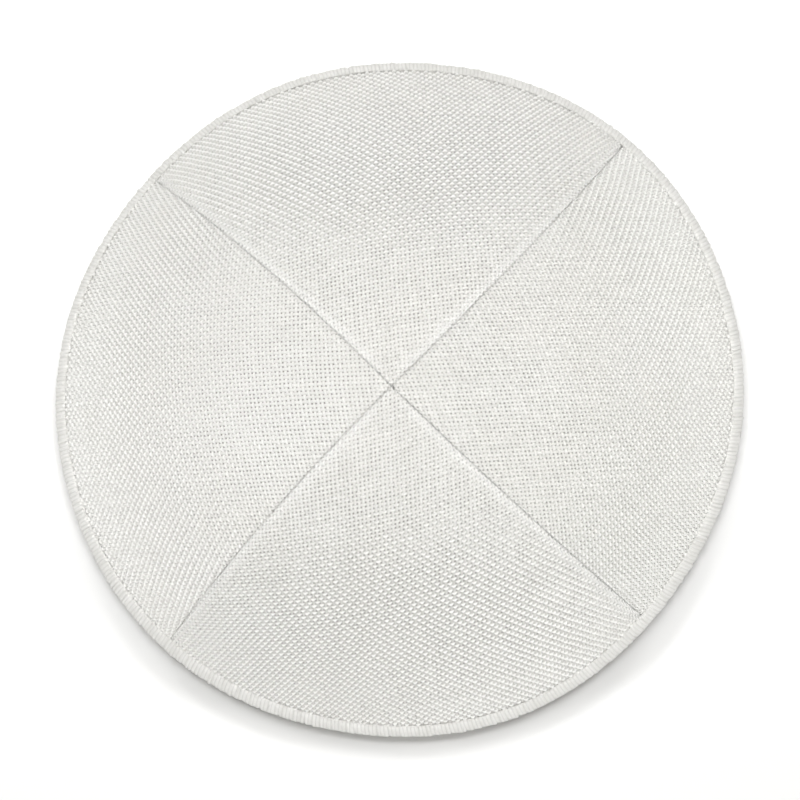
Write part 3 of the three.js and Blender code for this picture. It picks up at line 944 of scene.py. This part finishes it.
def cloth_material():
    n = Nodes("woven cloth")
    s, t = n.uv("Yarn")
    place = n.place()

    # A crossing shows the float of a lengthwise yarn where even is 1, and of a crosswise one where odd is.
    cell_s, cell_t = n.math("FLOOR", s), n.math("FLOOR", t)
    in_s = n.minus(n.math("FRACT", s), 0.5)
    in_t = n.minus(n.math("FRACT", t), 0.5)
    odd = n.math("PINGPONG", n.add(cell_s, cell_t), 1.0)
    even = n.minus(1.0, odd)

    def pick(a, b):
        return n.add(n.times(even, a), n.times(odd, b))

    along = pick(t, s)
    across = pick(in_s, in_t)
    yarn = pick(cell_s, n.add(cell_t, CROSSWISE_YARNS_FROM))
    yarn_tone = n.random(yarn, odd)
    nearest_s = n.math("FLOOR", n.add(s, 0.5))
    nearest_t = n.math("FLOOR", n.add(t, 0.5))
    patch = n.random(nearest_s, nearest_t, 3.0)

    # Plies and fibres turn round the yarn.
    twist = n.math("SINE", n.add(n.times(across, 9.0), n.times(along, 13.0)))
    fibre = n.noise(n.join(n.times(across, 9.0), n.times(along, 2.2), yarn), 1.6, 3.0, 0.6)

    # Painted shade in the open corners between the yarns, wider near the rim where the lengthwise floats are
    # painted in shade.
    open_weave_shade, painted_float_shading, tone = n.value("open_weave_shade"), n.value("painted_float_shading"), n.value("tone")
    corner_s = n.minus(0.5, n.magnitude(in_s))
    corner_t = n.minus(0.5, n.magnitude(in_t))
    corner = n.math("SQRT", n.add(n.math("POWER", corner_s, 2.0), n.math("POWER", corner_t, 2.0)))
    reach = n.add(n.span(patch, 0.0, 1.0, 0.2, 0.32), n.times(painted_float_shading, 0.1))
    depth = n.span(corner, 0.04, reach, 1.0, 0.0)
    patchy = n.span(n.noise(place, 22.0, 2.0, 0.6), 0.35, 0.65, 0.8, 1.1)
    hole_shade = n.times(n.times(depth, n.times(patchy, open_weave_shade)), n.span(patch, 0.0, 1.0, 0.5, 1.0))

    # Painted shade in the creases beside the yarns.
    beside = n.minus(0.5, n.magnitude(across))
    crease = n.times(n.span(beside, 0.0, 0.27, 0.55, 0.0), n.span(open_weave_shade, 0.0, 1.0, 0.3, 1.0))

    cloudy = n.noise(place, 30.0, 3.0, 0.6)
    body = n.mix(n.span(cloudy, 0.3, 0.7), CLOTH_PLAIN, CLOTH_PALE)
    light = n.add(n.times(yarn_tone, 0.3), n.times(fibre, 0.7))
    body = n.mix(n.span(light, 0.2, 0.9), n.mix(0.35, body, CLOTH_DULL), body)
    colour = n.mix(crease, body, CLOTH_CREASE_SHADE)
    colour = n.mix(hole_shade, colour, CLOTH_HOLE_SHADE)

    # Near the rim the lengthwise floats lie low between the crosswise ones: they are painted in shade, and
    # the crowns of the crosswise floats are painted with highlights.
    end = n.minus(n.math("FRACT", along), 0.5)
    roundness = n.minus(1.0, n.times(n.math("POWER", n.magnitude(across), 2.0), 4.0))
    fall = n.minus(1.0, n.times(n.math("POWER", n.magnitude(end), 2.0), 2.2))
    crown = n.times(roundness, fall)
    low = n.times(even, painted_float_shading)
    colour = n.mix(n.span(low, 0.0, 1.0, 0.0, 0.55), colour, CLOTH_FLOAT_SHADE)
    high = n.times(n.times(odd, painted_float_shading), n.span(crown, 0.3, 0.9))
    colour = n.mix(n.span(high, 0.0, 1.0, 0.0, 0.75), colour, CLOTH_FLOAT_HIGHLIGHT)

    # Beside the seams the turned edge, raised over its allowance, gets a painted highlight, and its neighbour
    # painted shade where it lies in the edge's shade.
    colour = n.mix(n.span(tone, 0.0, 1.0, 0.0, 0.2), colour, CLOTH_LIP_HIGHLIGHT)
    colour = n.mix(n.span(tone, -1.0, 0.0, 0.1, 0.0), colour, CLOTH_SHADED)

    relief = n.add(n.times(twist, 0.35), n.times(fibre, 1.2))
    relief = n.times(relief, n.span(corner, 0.1, 0.3))
    fine = n.bump(relief, CLOTH_FIBRE_BUMP)
    return n.finish({
        "Base Color": colour,
        "Roughness": n.span(fibre, 0.2, 0.8, 0.8, 0.6),
        "Specular IOR Level": 0.35,
        "Sheen Weight": 0.15,
        "Sheen Roughness": 0.5,
        "Normal": n.bump(crown, CROWN_BUMP, fine),
    })


def thread_material():
    n = Nodes("binding thread")
    s, t = n.uv("Yarn")
    place = n.place()
    tone = n.random(n.math("FLOOR", s), 7.0)
    fibre = n.noise(n.join(n.times(s, 3.0), n.times(t, 0.9), 0.0), 1.5, 3.0, 0.65)
    cloudy = n.noise(place, 60.0, 3.0, 0.6)
    mixed = n.add(n.times(tone, 0.3), n.times(cloudy, 0.7))
    colour = n.mix(n.span(mixed, 0.25, 0.75), THREAD_PLAIN, THREAD_PALE)
    colour = n.mix(n.span(fibre, 0.2, 0.6, 0.35, 0.0), colour, THREAD_FIBRE)
    # The strands part where the map's first coordinate is halfway between whole numbers, and the gaps between
    # them are painted in shade.
    beside = n.magnitude(n.minus(n.math("FRACT", s), 0.5))
    colour = n.mix(n.span(beside, 0.0, 0.25, 0.35, 0.0), colour, THREAD_GAP_SHADE)
    return n.finish({
        "Base Color": colour,
        "Roughness": n.span(fibre, 0.2, 0.8, 0.8, 0.6),
        "Specular IOR Level": 0.35,
        "Sheen Weight": 0.1,
        "Normal": n.bump(fibre, THREAD_FIBRE_BUMP),
    })


def floor_material():
    n = Nodes("white sweep")
    return n.finish({"Base Color": FLOOR_WHITE, "Roughness": 0.9, "Specular IOR Level": 0.1})


cloth = cloth_material()
thread = thread_material()
for panel in PANELS:
    weave_panel(panel, cloth)
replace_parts(bind_edge(thread), "edge_binding")
stitch_line("needle_stitches", thread, -3.02, 0.02, 21)
stitch_line("looper_stitches", thread, -3.0, -1.32, 22)
for panel in PANELS:
    if panel["layers"]:
        side = panel["name"].replace("panel_", "")
        allowance("allowance_" + side + "_a", panel, True, cloth, 31)
        allowance("allowance_" + side + "_b", panel, False, cloth, 32)

FLOOR_SIZE = 3.0  # metres
bpy.ops.mesh.primitive_plane_add(size=FLOOR_SIZE, location=(0, 0, 0))
floor = bpy.context.object
floor.name = "floor"
floor.data.materials.append(floor_material())

# The hat and the floor have lamps of their own. The floor's ones give it the photograph's soft shadow,
# below the rim in the picture, and leave it white elsewhere.
floor_alone = bpy.data.collections.new("floor alone")
floor_alone.objects.link(floor)
# Lamps whose receivers only leave something out light all the rest.
hat_alone = bpy.data.collections.new("all but the floor")
hat_alone.objects.link(floor)
hat_alone.collection_objects[0].light_linking.link_state = "EXCLUDE"

WHITE = (1.0, 1.0, 1.0)
WARM = (1.0, 0.99, 0.94)
LAMPS_AIM = Vector((0, 0, 0.02))


def area_light(name, receivers, place, size, watts, height=None, tint=WHITE):
    """A round lamp, or one of size by height, that faces the hat and lights the receivers alone."""
    data = bpy.data.lights.new(name, "AREA")
    data.color = tint
    data.shape = "DISK"
    data.size = size
    if height:
        data.shape = "RECTANGLE"
        data.size_y = height
    data.energy = watts
    obj = bpy.data.objects.new(name, data)
    obj.location = place
    obj.rotation_euler = (LAMPS_AIM - Vector(place)).to_track_quat("-Z", "Y").to_euler()
    bpy.context.scene.collection.objects.link(obj)
    obj.light_linking.receiver_collection = receivers


def round_the_hat(degrees, radius, height):
    azimuth = np.radians(degrees)
    return (radius * np.cos(azimuth), radius * np.sin(azimuth), height)


# Places and sizes of the lamps are metres, and angles are degrees anticlockwise from +X.
area_light("over", hat_alone, (0, 0, 1.5), 0.9, 14.0)
area_light("front", hat_alone, (0, -1.05, 0.95), 0.9, 11.0)
area_light("back", hat_alone, (0, 1.05, 0.95), 0.9, 9.5)
area_light("left", hat_alone, (-1.35, 0.2, 0.35), 0.7, 4.2)
area_light("right", hat_alone, (1.25, 0, 0.7), 0.9, 4.4)
area_light("floor_over", floor_alone, (0, 0, 1.5), 0.9, 3.6, tint=WARM)
for angle in (46, 68, 90, 112, 134):
    place = round_the_hat(angle, 1.0, 0.95)
    area_light("floor_behind_" + str(angle), floor_alone, place, 0.5, 4.9, 0.05)
for angle in (350, 190):
    place = round_the_hat(angle, 1.3, 0.565)
    area_light("floor_low_" + str(angle), floor_alone, place, 0.7, 4.4, 0.12, WARM)

world = bpy.data.worlds.new("studio")
bpy.context.scene.world = world
world.use_nodes = True
background = world.node_tree.nodes["Background"]
background.inputs["Color"].default_value = (1, 1, 1, 1)
background.inputs["Strength"].default_value = 0.02

# The photograph's view, almost straight down. LEAN_X and LEAN_Y are how far the camera stands from
# upright towards +X and +Y, and ROLL is the picture's turn, all in degrees.
TARGET = Vector((0.17, -0.69, 0.0)) * MM
DISTANCE = 618 * MM
LEAN_X = 1.78
LEAN_Y = -2.9
ROLL = 2.8
FOCAL_LENGTH = 111.17
SENSOR_WIDTH = 36
NEAREST_SEEN = 0.01  # metres
lean_x, lean_y = np.sin(np.radians(LEAN_X)), np.sin(np.radians(LEAN_Y))
towards = Vector((lean_x, lean_y, (1 - lean_x**2 - lean_y**2) ** 0.5))
up = Vector((np.sin(np.radians(ROLL)), np.cos(np.radians(ROLL)), 0.0))
up = (up - towards * up.dot(towards)).normalized()
right = up.cross(towards)
lens = bpy.data.cameras.new("camera")
lens.lens = FOCAL_LENGTH
lens.sensor_width = SENSOR_WIDTH
lens.clip_start = NEAREST_SEEN
camera = bpy.data.objects.new("camera", lens)
turned = Matrix((right, up, towards)).transposed().to_4x4()
camera.matrix_world = Matrix.Translation(TARGET + towards * DISTANCE) @ turned
bpy.context.scene.collection.objects.link(camera)
bpy.context.scene.camera = camera
bpy.context.scene.view_settings.view_transform = "Standard"
bpy.context.scene.view_settings.look = "None"
